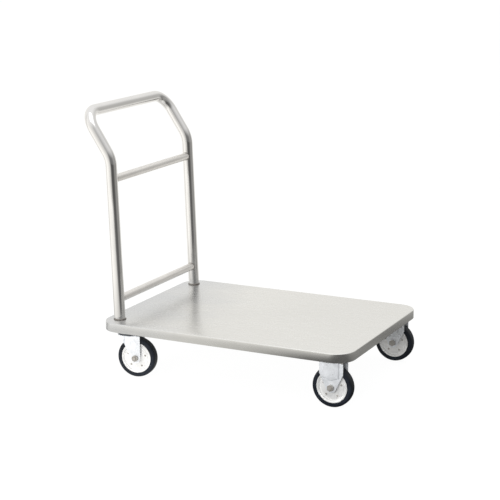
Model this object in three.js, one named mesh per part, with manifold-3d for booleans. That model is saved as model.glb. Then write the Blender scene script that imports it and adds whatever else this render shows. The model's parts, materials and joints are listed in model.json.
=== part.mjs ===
// Stainless-steel platform luggage cart: a folded sheet deck on two rigid and two swivel casters,
// with a bent-tube push handle at the rear.
// Millimetres, +Z up, +X forward (away from the handle), +Y left. The origin is on the floor,
// at the middle of the whole cart's bounding box.
import * as THREE from "three";
import { mergeVertices } from "three/addons/utils/BufferGeometryUtils.js";
import Module from "manifold-3d";

const wasm = await Module();
wasm.setup();

// ---- driving dimensions ----
const GAP = 0.3;
// How far cutting tools and joined parts run past a face.
const PAST = 1;

const DECK_LENGTH = 830;
const DECK_WIDTH = 600;
const DECK_TOP_Z = 174;
const DECK_SKIRT = 28;
const DECK_SHEET = 1.5;
const DECK_CORNER = 60;
const CORNER_STEPS = 7;
const POST_HOLE_CLEARANCE = 0.4;

const CHANNEL_DEPTH = 18;
const CHANNEL_SHEET = 2;
const CHANNEL_FLANGE = 9.5;
const REAR_CHANNEL = { x: -338, half: 56 };
const FRONT_CHANNEL = { x: 353, half: 49 };
const MIDDLE_CHANNEL = { x: 0, half: 25 };

const POST_RADIUS = 17.5;
const POST_WALL = 1.5;
const POST_X = -371.5;
const POST_Y = 243;
const POST_RAKE = THREE.MathUtils.degToRad(2.3);
const BEND_Z = 677;
const BEND_RADIUS = 85;
const GRIP_LEAN = THREE.MathUtils.degToRad(33.5);
const GRIP_LENGTH = 163;
const GRIP_CORNER = 60;
const CROSSBAR_RADIUS = 12.2;
const CROSSBAR_WALL = 1.5;
const UPPER_CROSSBAR_Z = 612.5;
const LOWER_CROSSBAR_Z = 237.5;
const COLLAR_HEIGHT = 5;
const COLLAR_WIDTH = 3;
const COLLAR_RIM = 0.6;
const FOOT_CLEARANCE = 1;

const WHEEL_RADIUS = 62.5;
const TYRE_HALF_WIDTH = 15;
const AXLE_RADIUS = 6;
const SLEEVE_RADIUS = 8.2;
const BEARING_RADIUS = 11.2;
const BEARING_HALF = 13.5;
const AXLE_NUT = { acrossFlats: 18, height: 8, tip: 2 };
const AXLE_HEAD = { acrossFlats: 18, height: 7 };
// Sections as [radius, y] from the wheel's centre. The tyre's is its outer half.
const TYRE_SECTION = [
  [42, 5.5], [50.4, 5.5], [50.4, TYRE_HALF_WIDTH], [58.5, TYRE_HALF_WIDTH], [WHEEL_RADIUS, 10],
];
const RIM_BORE_ENDS = [0.2, 14];
const RIM_SECTION = [
  [14, 14], [14, 10], [37, 10], [40, 7.8], [46, 13.5], [50, 13.5], [50, 11.5], [40, 5.8], [37, 8],
  [14, 8], [14, 0.2],
];

const CASTER_Y = 252;
const FRONT_CASTER_X = 353;
const REAR_CASTER_X = -336;
const CASTER_TRAIL = 30;
const REST_SWIVEL = { left: 0, right: THREE.MathUtils.degToRad(6) };
const PLATE = { length: 90, width: 64, thickness: 3, corner: 10 };
const LEG_INNER = 17.5;
const LEG_SHEET = 2.5;
const LEG_BOSS = 16;
const LEG_BOSS_SIDES = 20;
const RIGID_LEG = { half: 38, kneeZ: 103 };
const RIGID_RIB = { half: 25, kneeZ: 92, tipZ: 84, depth: 4 };
const FORK_LEG = { backX: -11, backZ: 107 };
const FORK_FOLD = { backX: -20, frontX: -9, bottomZ: 108, corner: 9 };
const CROWN_TOP_Z = 134.5;
const CROWN_RADIUS = 34;
const DOME_BOTTOM_Z = 141.3;
const DOME = { bore: 21, radius: 36, lip: 3, neck: 31 };
const RACE = { bore: 24, shoulder: 30, radius: 32.5 };
const KING_RADIUS = 7;
const KING_CLEARANCE = 0.4;
const KING_COLLAR_RADIUS = 11.5;
const KING_NUT = { bottom: 125.6, top: 131.6, acrossFlats: 22, tip: 1.5 };

const TUBE_SIDES = 16;
const SMALL_SIDES = 16;
const RIM_SIDES = 20;
const TYRE_SIDES = 26;
const RACE_SIDES = 18;

// ---- derived positions ----
const postX = (z) => POST_X - Math.tan(POST_RAKE) * (z - DECK_TOP_Z);
const GRIP_BACK = postX(BEND_Z) - Math.sin(GRIP_LEAN) * GRIP_LENGTH;
const CART_SHIFT_X = (POST_RADIUS - GRIP_BACK - DECK_LENGTH / 2) / 2;
const CHANNEL_TOP_Z = DECK_TOP_Z - DECK_SHEET - GAP;
const CHANNEL_BOTTOM_Z = CHANNEL_TOP_Z - CHANNEL_DEPTH;
const PLATE_TOP_Z = CHANNEL_BOTTOM_Z - GAP;
const PLATE_BOTTOM_Z = PLATE_TOP_Z - PLATE.thickness;
const LEG_OUTER = LEG_INNER + LEG_SHEET;

// ---- materials ----
const finish = (color, roughness, metalness) => new THREE.MeshStandardMaterial({ color, roughness, metalness });
const brushed = finish(0xdcdcdc, 0.42, 0.9);
const polished = finish(0xd2d2d0, 0.15, 1.0);
const zinc = finish(0xd8dce0, 0.35, 0.85);
const rubber = finish(0x15181c, 0.7, 0.0);
const darkSteel = finish(0x50555a, 0.45, 0.9);

// ---- solids ----
// A closed, indexed copy of a geometry with its faces pointing out.
function closed(geometry) {
  const bare = geometry.index ? geometry.toNonIndexed() : geometry.clone();
  bare.deleteAttribute("normal");
  bare.deleteAttribute("uv");
  const merged = mergeVertices(bare, 1e-4);
  const source = merged.index.array;
  const point = [0, 1, 2].map(() => new THREE.Vector3());
  const kept = [];
  let volume = 0;
  for (let i = 0; i < source.length; i += 3) {
    const corners = [source[i], source[i + 1], source[i + 2]];
    if (new Set(corners).size < 3) continue;
    corners.forEach((vertex, k) => point[k].fromBufferAttribute(merged.attributes.position, vertex));
    volume += point[0].dot(point[1].cross(point[2]));
    kept.push(...corners);
  }
  if (volume < 0) kept.reverse();
  merged.setIndex(kept);
  return merged;
}

function solid(geometry) {
  const merged = closed(geometry);
  const vertProperties = new Float32Array(merged.attributes.position.array);
  const triVerts = new Uint32Array(merged.index.array);
  return new wasm.Manifold(new wasm.Mesh({ numProp: 3, vertProperties, triVerts }));
}

function surface(body) {
  const { vertProperties, triVerts } = body.getMesh();
  const geometry = new THREE.BufferGeometry();
  geometry.setAttribute("position", new THREE.BufferAttribute(vertProperties, 3));
  geometry.setIndex(new THREE.BufferAttribute(triVerts, 1));
  return geometry;
}

const joined = (...geometries) => surface(geometries.map(solid).reduce((whole, next) => whole.add(next)));
const cut = (geometry, ...tools) =>
  surface(tools.map(solid).reduce((whole, next) => whole.subtract(next), solid(geometry)));

// ---- shape helpers ----
// The corner radius of a regular polygon whose flats are r from its centre.
const across = (r, sides) => r / Math.cos(Math.PI / sides);

// A solid of revolution about Y from a closed [radius, y] outline, with a flat side at the bottom.
function turned(outline, sides = SMALL_SIDES) {
  const points = [...outline, outline[0]].map(([r, y]) => new THREE.Vector2(r, y));
  return new THREE.LatheGeometry(points, sides, Math.PI / sides);
}

const ring = (bore, radius, y0, y1, sides = SMALL_SIDES) => {
  const inner = across(bore, sides);
  return turned([[inner, y0], [radius, y0], [radius, y1], [inner, y1]], sides);
};

const rod = (radius, y0, y1, sides = SMALL_SIDES) =>
  turned([[0, y0], [radius, y0], [radius, y1], [0, y1]], sides);

const upright = (geometry) => geometry.rotateX(Math.PI / 2);

const block = (x0, x1, y0, y1, z0, z1) =>
  new THREE.BoxGeometry(x1 - x0, y1 - y0, z1 - z0).translate((x0 + x1) / 2, (y0 + y1) / 2, (z0 + z1) / 2);

const outlineOf = (points) => new THREE.Shape(points.map(([x, y]) => new THREE.Vector2(x, y)));

function roundHole(shape, x, y, radius, sides = SMALL_SIDES) {
  const corner = across(radius, sides);
  const turn = (k) => (2 * Math.PI * k) / sides;
  const points = Array.from({ length: sides }, (_, k) =>
    new THREE.Vector2(x + corner * Math.cos(turn(k)), y + corner * Math.sin(turn(k))));
  shape.holes.push(new THREE.Path(points));
}

const slab = (shape, z0, z1, curveSegments = 8) =>
  new THREE.ExtrudeGeometry(shape, { depth: z1 - z0, bevelEnabled: false, curveSegments }).translate(0, 0, z0);

// An (x, z) outline extruded along Y between y0 and y1.
const wallPlate = (shape, y0, y1) => slab(shape, -y1, -y0).rotateX(Math.PI / 2);

function roundedRectangle(length, width, radius) {
  const shape = new THREE.Shape();
  const x = length / 2;
  const y = width / 2;
  shape.moveTo(-x + radius, -y);
  shape.lineTo(x - radius, -y);
  shape.absarc(x - radius, -y + radius, radius, -Math.PI / 2, 0);
  shape.lineTo(x, y - radius);
  shape.absarc(x - radius, y - radius, radius, 0, Math.PI / 2);
  shape.lineTo(-x + radius, y);
  shape.absarc(-x + radius, y - radius, radius, Math.PI / 2, Math.PI);
  shape.lineTo(-x, -y + radius);
  shape.absarc(-x + radius, -y + radius, radius, Math.PI, 1.5 * Math.PI);
  return shape;
}

function hexagon(acrossFlats) {
  const corner = across(acrossFlats / 2, 6);
  return outlineOf(Array.from({ length: 6 }, (_, k) =>
    [corner * Math.cos((k * Math.PI) / 3), corner * Math.sin((k * Math.PI) / 3)]));
}

// A route through listed points, one ring of the swept tube at each point.
class Route extends THREE.Curve {
  constructor(points) {
    super();
    this.points = points;
  }

  getPoint(t) {
    const place = t * (this.points.length - 1);
    const from = Math.min(Math.floor(place), this.points.length - 2);
    return this.points[from].clone().lerp(this.points[from + 1], place - from);
  }

  getPointAt(t) {
    return this.getPoint(t);
  }

  getTangentAt(t) {
    const last = this.points.length - 1;
    const at = Math.round(t * last);
    const legs = [[at - 1, at], [at, at + 1]].filter(([a, b]) => a >= 0 && b <= last);
    return legs.reduce((sum, [a, b]) => sum.add(this.points[b].clone().sub(this.points[a]).normalize()),
      new THREE.Vector3()).normalize();
  }
}

// Points round a corner at `corner` between the directions `into` and `out`, with a bend radius.
function bend(corner, into, out, radius, steps) {
  const turn = into.angleTo(out);
  const setback = radius * Math.tan(turn / 2);
  const start = corner.clone().addScaledVector(into, -setback);
  const inward = out.clone().addScaledVector(into, -out.dot(into)).normalize();
  return Array.from({ length: steps + 1 }, (_, k) => {
    const angle = (turn * k) / steps;
    return start.clone()
      .addScaledVector(into, radius * Math.sin(angle))
      .addScaledVector(inward, radius * (1 - Math.cos(angle)));
  });
}

// ---- deck ----
// The deck's rounded outline, set in by a distance.
const deckOutline = (inset) =>
  roundedRectangle(DECK_LENGTH - 2 * inset, DECK_WIDTH - 2 * inset, DECK_CORNER - inset);

function deckPanel() {
  const skirtBottom = DECK_TOP_Z - DECK_SKIRT;
  const shell = slab(deckOutline(0), skirtBottom, DECK_TOP_Z, CORNER_STEPS);
  const hollow = slab(deckOutline(DECK_SHEET), skirtBottom - PAST, DECK_TOP_Z - DECK_SHEET, CORNER_STEPS);
  const holeRadius = across(POST_RADIUS + POST_HOLE_CLEARANCE, TUBE_SIDES);
  const holeBottom = DECK_TOP_Z - DECK_SHEET - PAST;
  const postHole = (y) =>
    upright(rod(holeRadius, holeBottom, DECK_TOP_Z + PAST, TUBE_SIDES)).translate(POST_X, y, 0);
  return cut(shell, hollow, postHole(-POST_Y), postHole(POST_Y));
}

// A hat section in (x, z): open flanges at the top and a flat web below. It runs along Y.
function hatChannel(half, y0, y1) {
  const outer = half + CHANNEL_FLANGE;
  const inner = half - CHANNEL_SHEET;
  const top = CHANNEL_TOP_Z;
  const lip = CHANNEL_TOP_Z - CHANNEL_SHEET;
  const web = CHANNEL_BOTTOM_Z;
  const floor = CHANNEL_BOTTOM_Z + CHANNEL_SHEET;
  return wallPlate(outlineOf([
    [-outer, lip], [-half, lip], [-half, web], [half, web], [half, lip], [outer, lip],
    [outer, top], [inner, top], [inner, floor], [-inner, floor], [-inner, top], [-outer, top],
  ]), y0, y1);
}

// A channel across the deck, its ends and flanges trimmed to the rounded inside of the skirt.
function crossChannel(channel) {
  const whole = hatChannel(channel.half, -DECK_WIDTH / 2, DECK_WIDTH / 2).translate(channel.x, 0, 0);
  const inside = slab(deckOutline(DECK_SHEET + GAP), CHANNEL_BOTTOM_Z - PAST, DECK_TOP_Z, CORNER_STEPS);
  return surface(solid(whole).intersect(solid(inside)));
}

// A centre stiffener between two cross channels.
function spineChannel(rear, front) {
  const start = rear.x + rear.half + CHANNEL_FLANGE + GAP;
  const end = front.x - front.half - CHANNEL_FLANGE - GAP;
  return hatChannel(MIDDLE_CHANNEL.half, -end, -start).rotateZ(Math.PI / 2);
}

// ---- push handle ----
function handleRoute() {
  const up = new THREE.Vector3(-Math.sin(POST_RAKE), 0, Math.cos(POST_RAKE));
  const back = new THREE.Vector3(-Math.sin(GRIP_LEAN), 0, Math.cos(GRIP_LEAN));
  const sideways = new THREE.Vector3(0, 1, 0);
  const foot = CHANNEL_BOTTOM_Z + CHANNEL_SHEET + FOOT_CLEARANCE;
  const knee = new THREE.Vector3(postX(BEND_Z), -POST_Y, BEND_Z);
  const shoulder = knee.clone().addScaledVector(back, GRIP_LENGTH);
  const half = [
    new THREE.Vector3(postX(foot), -POST_Y, foot),
    ...bend(knee, up, back, BEND_RADIUS, 4),
    ...bend(shoulder, back, sideways, GRIP_CORNER, 6),
  ];
  const mirrored = half.map((p) => new THREE.Vector3(p.x, -p.y, p.z)).reverse();
  return [...half, ...mirrored];
}

function circleShape(radius, sides) {
  const turn = (k) => (2 * Math.PI * (k + 0.5)) / sides;
  return Array.from({ length: sides }, (_, k) =>
    new THREE.Vector2(radius * Math.cos(turn(k)), radius * Math.sin(turn(k))));
}

function handleBow() {
  const points = handleRoute();
  const section = new THREE.Shape(circleShape(POST_RADIUS, TUBE_SIDES));
  section.holes.push(new THREE.Path(circleShape(POST_RADIUS - POST_WALL, TUBE_SIDES)));
  return new THREE.ExtrudeGeometry(section, {
    steps: points.length - 1,
    bevelEnabled: false,
    extrudePath: new Route(points),
  });
}

// A tube between the posts with its ends shaped round them.
function crossbar(z) {
  const bore = CROSSBAR_RADIUS - CROSSBAR_WALL;
  const tube = ring(bore, CROSSBAR_RADIUS, -POST_Y, POST_Y).translate(postX(z), 0, z);
  const reach = 2 * POST_RADIUS;
  const post = (y) => upright(rod(across(POST_RADIUS + GAP, TUBE_SIDES), -reach, reach, TUBE_SIDES))
    .rotateY(-POST_RAKE)
    .translate(postX(z), y, z);
  return cut(tube, post(-POST_Y), post(POST_Y));
}

// The weld bead round a post where it enters the deck.
function postCollar(y) {
  const bore = POST_RADIUS + 2 * GAP;
  const inner = across(bore, TUBE_SIDES);
  const outer = bore + COLLAR_WIDTH;
  const bead = upright(turned([
    [inner, 0], [outer, 0], [outer, COLLAR_HEIGHT / 2],
    [inner + COLLAR_RIM, COLLAR_HEIGHT], [inner, COLLAR_HEIGHT],
  ], TUBE_SIDES));
  return bead.translate(POST_X, y, DECK_TOP_Z + GAP);
}

// ---- casters: coordinates are from the plate's centre, with true heights ----
function topPlate() {
  return slab(roundedRectangle(PLATE.length, PLATE.width, PLATE.corner), PLATE_BOTTOM_Z, PLATE_TOP_Z, 3);
}

// The convex outline round a set of [x, z] points.
function hull(points) {
  const sorted = [...points].sort((a, b) => a[0] - b[0] || a[1] - b[1]);
  const chain = (list) => {
    const side = [];
    for (const p of list) {
      const turnsRight = () => {
        const [[ax, az], [bx, bz]] = side.slice(-2);
        return (bx - ax) * (p[1] - az) - (bz - az) * (p[0] - ax) <= 0;
      };
      while (side.length > 1 && turnsRight()) side.pop();
      side.push(p);
    }
    return side.slice(0, -1);
  };
  return [...chain(sorted), ...chain(sorted.reverse())];
}

// A leg's (x, z) outline: straight from its top to its knees, then tapering to a boss round the axle.
function legOutline(axleX, straightEdges) {
  const boss = Array.from({ length: LEG_BOSS_SIDES }, (_, k) => {
    const turn = (2 * Math.PI * k) / LEG_BOSS_SIDES;
    return [axleX + LEG_BOSS * Math.cos(turn), WHEEL_RADIUS + LEG_BOSS * Math.sin(turn)];
  });
  const shape = outlineOf(hull([...straightEdges, ...boss]));
  roundHole(shape, axleX, WHEEL_RADIUS, AXLE_RADIUS + GAP);
  return shape;
}

const legPair = (outline) => [
  wallPlate(outline, LEG_INNER, LEG_OUTER),
  wallPlate(outline, -LEG_OUTER, -LEG_INNER),
];

// The fixed bracket: its plate and two ribbed legs pressed from one sheet.
function rigidBracket() {
  const legTop = PLATE_BOTTOM_Z + PAST;
  const leg = legOutline(0, [
    [-RIGID_LEG.half, legTop], [-RIGID_LEG.half, RIGID_LEG.kneeZ],
    [RIGID_LEG.half, RIGID_LEG.kneeZ], [RIGID_LEG.half, legTop],
  ]);
  const rib = outlineOf([
    [-RIGID_RIB.half, RIGID_RIB.kneeZ], [0, RIGID_RIB.tipZ], [RIGID_RIB.half, RIGID_RIB.kneeZ],
    [RIGID_RIB.half, legTop], [-RIGID_RIB.half, legTop],
  ]);
  return joined(
    topPlate(),
    ...legPair(leg),
    wallPlate(rib, LEG_OUTER - PAST, LEG_OUTER + RIGID_RIB.depth),
    wallPlate(rib, -LEG_OUTER - RIGID_RIB.depth, -LEG_OUTER + PAST),
  );
}

const kingHole = (z0, z1) =>
  upright(rod(across(KING_RADIUS + KING_CLEARANCE, SMALL_SIDES), z0 - PAST, z1 + PAST));

// The swivel fork: a round crown, two raked legs, and a folded wall joining them at the back.
function swivelFork() {
  const crownBottom = CROWN_TOP_Z - LEG_SHEET;
  const frontX = CASTER_TRAIL + LEG_BOSS;
  const plan = (inset) => {
    const shape = new THREE.Shape();
    const x = FORK_FOLD.backX + inset;
    const y = LEG_OUTER - inset;
    const r = FORK_FOLD.corner - inset;
    shape.moveTo(frontX + inset, y);
    shape.lineTo(x + r, y);
    shape.absarc(x + r, y - r, r, Math.PI / 2, Math.PI);
    shape.lineTo(x, -y + r);
    shape.absarc(x + r, -y + r, r, Math.PI, 1.5 * Math.PI);
    shape.lineTo(frontX + inset, -y);
    return shape;
  };
  const fold = cut(
    slab(plan(0), FORK_FOLD.bottomZ, CROWN_TOP_Z, 3),
    slab(plan(LEG_SHEET), FORK_FOLD.bottomZ - PAST, crownBottom, 3),
    block(
      FORK_FOLD.frontX, frontX + PAST,
      -LEG_OUTER - PAST, LEG_OUTER + PAST,
      FORK_FOLD.bottomZ - PAST, crownBottom,
    ),
  );
  const legTop = crownBottom + PAST;
  const leg = legOutline(CASTER_TRAIL, [
    [FORK_LEG.backX, legTop], [FORK_LEG.backX, FORK_LEG.backZ], [frontX, legTop],
  ]);
  const crown = upright(rod(CROWN_RADIUS, crownBottom, CROWN_TOP_Z, RACE_SIDES));
  return cut(joined(fold, ...legPair(leg), crown), kingHole(crownBottom, CROWN_TOP_Z));
}

// The swivel head that bolts to the cart: its plate with the domed upper raceway below it.
function swivelPlate() {
  const top = PLATE_BOTTOM_Z + PAST;
  const dome = upright(turned([
    [DOME.bore, top], [DOME.bore, DOME_BOTTOM_Z], [DOME.radius, DOME_BOTTOM_Z],
    [DOME.radius, DOME_BOTTOM_Z + DOME.lip], [DOME.neck, top],
  ], RACE_SIDES));
  return cut(joined(topPlate(), dome), kingHole(PLATE_BOTTOM_Z, PLATE_TOP_Z));
}

// The ring of balls and its cage between the crown and the dome.
function ballRace() {
  const bottom = CROWN_TOP_Z + GAP;
  const top = DOME_BOTTOM_Z - GAP;
  const middle = (bottom + top) / 2;
  return upright(turned([
    [RACE.bore, bottom], [RACE.bore, top], [RACE.shoulder, top],
    [RACE.radius, middle], [RACE.shoulder, bottom],
  ], RACE_SIDES));
}

// The king bolt, from its tip below the fork up through a collar to the top of the plate.
function kingBolt() {
  const tip = KING_NUT.bottom - KING_NUT.tip;
  const collarBottom = DOME_BOTTOM_Z + PAST;
  const collarTop = PLATE_BOTTOM_Z - GAP;
  const end = PLATE_TOP_Z - GAP;
  return upright(turned([
    [0, tip], [KING_RADIUS, tip], [KING_RADIUS, collarBottom], [KING_COLLAR_RADIUS, collarBottom],
    [KING_COLLAR_RADIUS, collarTop], [KING_RADIUS, collarTop], [KING_RADIUS, end], [0, end],
  ]));
}

function kingNut() {
  const shape = hexagon(KING_NUT.acrossFlats);
  roundHole(shape, 0, 0, KING_RADIUS + GAP);
  return slab(shape, KING_NUT.bottom, KING_NUT.top);
}

// ---- wheels: coordinates are from the wheel's centre, with +Y towards the outside of the cart ----
function tyre() {
  const outline = [...TYRE_SECTION, ...TYRE_SECTION.map(([r, y]) => [r, -y]).reverse()];
  return turned(outline.map(([r, y]) => [across(r, TYRE_SIDES), y]), TYRE_SIDES);
}

// One pressed half of the rim: hub collar, dished disc, groove and outer flange.
function rimHalf() {
  const bore = across(BEARING_RADIUS + GAP, RIM_SIDES);
  return turned([...RIM_BORE_ENDS.map((y) => [bore, y]), ...RIM_SECTION], RIM_SIDES);
}

const rollerBearing = () => ring(SLEEVE_RADIUS + GAP, BEARING_RADIUS, -BEARING_HALF, BEARING_HALF);

const axleSleeve = () => ring(AXLE_RADIUS + GAP, SLEEVE_RADIUS, -LEG_INNER + GAP, LEG_INNER - GAP);

function axleBolt() {
  const headEnd = -LEG_OUTER - GAP;
  const tip = LEG_OUTER + GAP + AXLE_NUT.height + AXLE_NUT.tip;
  const head = wallPlate(hexagon(AXLE_HEAD.acrossFlats), headEnd - AXLE_HEAD.height, headEnd);
  return joined(head, rod(AXLE_RADIUS, headEnd - PAST, tip));
}

function axleNut() {
  const shape = hexagon(AXLE_NUT.acrossFlats);
  roundHole(shape, 0, 0, AXLE_RADIUS + GAP);
  return wallPlate(shape, LEG_OUTER + GAP, LEG_OUTER + GAP + AXLE_NUT.height);
}

// ---- assembly ----
function named(name, geometry, material) {
  const mesh = new THREE.Mesh(closed(geometry), material);
  mesh.name = name;
  return mesh;
}

function placed(x, y, z, ...children) {
  const group = new THREE.Group();
  group.position.set(x, y, z);
  group.add(...children);
  return group;
}

function wheelSet(corner, side) {
  const innerRim = named(`${corner}_rim_inner`, rimHalf(), zinc);
  innerRim.rotation.x = Math.PI;
  const set = placed(0, 0, WHEEL_RADIUS,
    named(`${corner}_tyre`, tyre(), rubber),
    named(`${corner}_rim_outer`, rimHalf(), zinc),
    innerRim,
    named(`${corner}_roller_bearing`, rollerBearing(), darkSteel),
    named(`${corner}_axle_sleeve`, axleSleeve(), darkSteel),
    named(`${corner}_axle_bolt`, axleBolt(), zinc),
    named(`${corner}_axle_nut`, axleNut(), zinc));
  if (side < 0) set.rotation.z = Math.PI;
  return set;
}

function rigidCaster(hand, side) {
  const corner = `front_${hand}`;
  return placed(FRONT_CASTER_X, side * CASTER_Y, 0,
    named(`${corner}_bracket`, rigidBracket(), zinc),
    wheelSet(corner, side));
}

function swivelCaster(hand, side) {
  const corner = `rear_${hand}`;
  const wheel = wheelSet(corner, side);
  wheel.position.x = CASTER_TRAIL;
  const swivel = placed(0, 0, 0,
    named(`${corner}_fork`, swivelFork(), zinc),
    named(`${corner}_ball_race`, ballRace(), darkSteel),
    wheel);
  swivel.rotation.z = REST_SWIVEL[hand];
  return placed(REAR_CASTER_X, side * CASTER_Y, 0,
    named(`${corner}_swivel_plate`, swivelPlate(), zinc),
    named(`${corner}_king_bolt`, kingBolt(), zinc),
    named(`${corner}_king_nut`, kingNut(), zinc),
    swivel);
}

const cart = placed(CART_SHIFT_X, 0, 0,
  named("deck_panel", deckPanel(), brushed),
  named("rear_cross_channel", crossChannel(REAR_CHANNEL), brushed),
  named("middle_cross_channel", crossChannel(MIDDLE_CHANNEL), brushed),
  named("front_cross_channel", crossChannel(FRONT_CHANNEL), brushed),
  named("rear_spine_channel", spineChannel(REAR_CHANNEL, MIDDLE_CHANNEL), brushed),
  named("front_spine_channel", spineChannel(MIDDLE_CHANNEL, FRONT_CHANNEL), brushed),
  named("handle_bow", handleBow(), polished),
  named("upper_crossbar", crossbar(UPPER_CROSSBAR_Z), polished),
  named("lower_crossbar", crossbar(LOWER_CROSSBAR_Z), polished),
  named("left_post_collar", postCollar(POST_Y), polished),
  named("right_post_collar", postCollar(-POST_Y), polished),
  rigidCaster("left", 1),
  rigidCaster("right", -1),
  swivelCaster("left", 1),
  swivelCaster("right", -1));

export default cart;
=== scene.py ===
import json
import math

import bmesh
import bpy
from mathutils import Matrix, Vector


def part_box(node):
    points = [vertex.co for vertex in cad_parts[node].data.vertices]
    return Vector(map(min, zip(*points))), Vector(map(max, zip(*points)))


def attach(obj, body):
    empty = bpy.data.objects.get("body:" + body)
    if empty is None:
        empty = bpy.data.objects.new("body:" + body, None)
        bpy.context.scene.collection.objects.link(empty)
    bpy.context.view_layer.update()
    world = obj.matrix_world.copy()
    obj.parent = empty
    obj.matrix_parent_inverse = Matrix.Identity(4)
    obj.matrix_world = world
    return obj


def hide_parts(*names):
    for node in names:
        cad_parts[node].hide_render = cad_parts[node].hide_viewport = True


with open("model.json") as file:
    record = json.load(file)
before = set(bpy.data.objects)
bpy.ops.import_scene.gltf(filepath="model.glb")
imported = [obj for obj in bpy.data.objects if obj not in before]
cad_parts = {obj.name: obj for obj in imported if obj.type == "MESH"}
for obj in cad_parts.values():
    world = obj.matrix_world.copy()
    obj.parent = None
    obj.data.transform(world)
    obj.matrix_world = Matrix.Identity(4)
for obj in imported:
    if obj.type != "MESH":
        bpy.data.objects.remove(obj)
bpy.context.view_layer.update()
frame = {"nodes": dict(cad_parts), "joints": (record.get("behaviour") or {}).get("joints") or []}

# ---- sizes repeated from the design, in metres and radians ----
MM = 0.001
DECK_CORNER = 60 * MM
DECK_SHEET = 1.5 * MM
DECK_EDGE = 2.8 * MM
POST_RADIUS = 17.5 * MM
POST_WALL = 1.5 * MM
POST_HOLE_GAP = 0.4 * MM
POST_GAP = 0.3 * MM
POST_RAKE = math.radians(2.3)
GRIP_LEAN = math.radians(33.5)
BEND_Z = 677 * MM
BEND_RADIUS = 85 * MM
GRIP_LENGTH = 163 * MM
GRIP_CORNER = 60 * MM
CROSSBAR_RADIUS = 12.2 * MM
CROSSBAR_WALL = 1.5 * MM
WHEEL_RADIUS = 62.5 * MM
LEG_INNER = 17.5 * MM
LEG_OUTER = 20 * MM
LEG_BOSS = 16 * MM
AXLE_RADIUS = 6 * MM
TRAIL = 30 * MM
CROWN_TOP = 134.5 * MM
AXLE_HOLE = 6.3 * MM
AXLE_HEX = 18 * MM
AXLE_HEX_FROM = 20.3 * MM
KING_RADIUS = 7 * MM
PLATE_LENGTH = 90 * MM
PLATE_WIDTH = 64 * MM
PLATE_LOW = 150.9 * MM
PLATE_HIGH = 153.9 * MM
PLATE_BOLT_X = 37 * MM
PLATE_BOLT_Y = 27 * MM
HANDS = {"left": 1, "right": -1}
JOINTS = {joint["name"]: joint for joint in frame["joints"]}

deck_low, deck_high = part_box("deck_panel")
DECK_X = (deck_low.x + deck_high.x) / 2
DECK_TOP = deck_high.z
HALF_LENGTH = (deck_high.x - deck_low.x) / 2
HALF_WIDTH = (deck_high.y - deck_low.y) / 2
collar_low, collar_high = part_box("left_post_collar")
POST_X = (collar_low.x + collar_high.x) / 2
POST_Y = (collar_low.y + collar_high.y) / 2


def centre(node):
    low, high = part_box(node)
    return (low + high) / 2


# ---- node-tree helpers ----
# The colour sockets of a Mix node, which share their names with its other sockets.
MIX_FIRST = 6
MIX_SECOND = 7
MIX_RESULT = 2


class Shader:
    """A principled material with its nodes added by name."""

    def __init__(self, name, color, roughness, metallic=0.0, **sockets):
        self.material = bpy.data.materials.new(name)
        self.material.use_nodes = True
        self.tree = self.material.node_tree
        self.base = self.tree.nodes["Principled BSDF"]
        self.base.inputs["Base Color"].default_value = (*color, 1)
        self.base.inputs["Roughness"].default_value = roughness
        self.base.inputs["Metallic"].default_value = metallic
        for socket, value in sockets.items():
            self.base.inputs[socket.replace("_", " ")].default_value = value
        self.coords = self.node("ShaderNodeTexCoord").outputs["Object"]

    def node(self, kind, **settings):
        made = self.tree.nodes.new(kind)
        for key, value in settings.items():
            setattr(made, key, value)
        return made

    def link(self, output, target):
        self.tree.links.new(output, target)

    def scaled(self, scale):
        mapping = self.node("ShaderNodeMapping")
        mapping.inputs["Scale"].default_value = scale
        self.link(self.coords, mapping.inputs["Vector"])
        return mapping.outputs["Vector"]

    def noise(self, scale, detail=4.0, roughness=0.55):
        texture = self.node("ShaderNodeTexNoise")
        texture.inputs["Scale"].default_value = 1.0
        texture.inputs["Detail"].default_value = detail
        texture.inputs["Roughness"].default_value = roughness
        self.link(self.scaled(scale), texture.inputs["Vector"])
        return texture.outputs["Fac"]

    def spread(self, value, low, high, start=0.3, end=0.7):
        ramp = self.node("ShaderNodeMapRange")
        ramp.inputs["From Min"].default_value = start
        ramp.inputs["From Max"].default_value = end
        ramp.inputs["To Min"].default_value = low
        ramp.inputs["To Max"].default_value = high
        self.link(value, ramp.inputs["Value"])
        return ramp.outputs["Result"]

    def tint(self, value, dark, light, start=0.3, end=0.7):
        ramp = self.node("ShaderNodeValToRGB")
        first, last = ramp.color_ramp.elements
        first.position = start
        last.position = end
        first.color = (*dark, 1)
        last.color = (*light, 1)
        self.link(value, ramp.inputs["Fac"])
        return ramp.outputs["Color"]

    def colour(self, output):
        self.link(output, self.base.inputs["Base Color"])

    def rough(self, output):
        self.link(output, self.base.inputs["Roughness"])

    def bump(self, *layers):
        """Each layer is (height output, strength, distance in metres)."""
        normal = None
        for height, strength, distance in layers:
            node = self.node("ShaderNodeBump")
            node.inputs["Strength"].default_value = strength
            node.inputs["Distance"].default_value = distance
            self.link(height, node.inputs["Height"])
            if normal:
                self.link(normal, node.inputs["Normal"])
            normal = node.outputs["Normal"]
        self.link(normal, self.base.inputs["Normal"])


def shade(color, factor):
    return tuple(channel * factor for channel in color)


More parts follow.
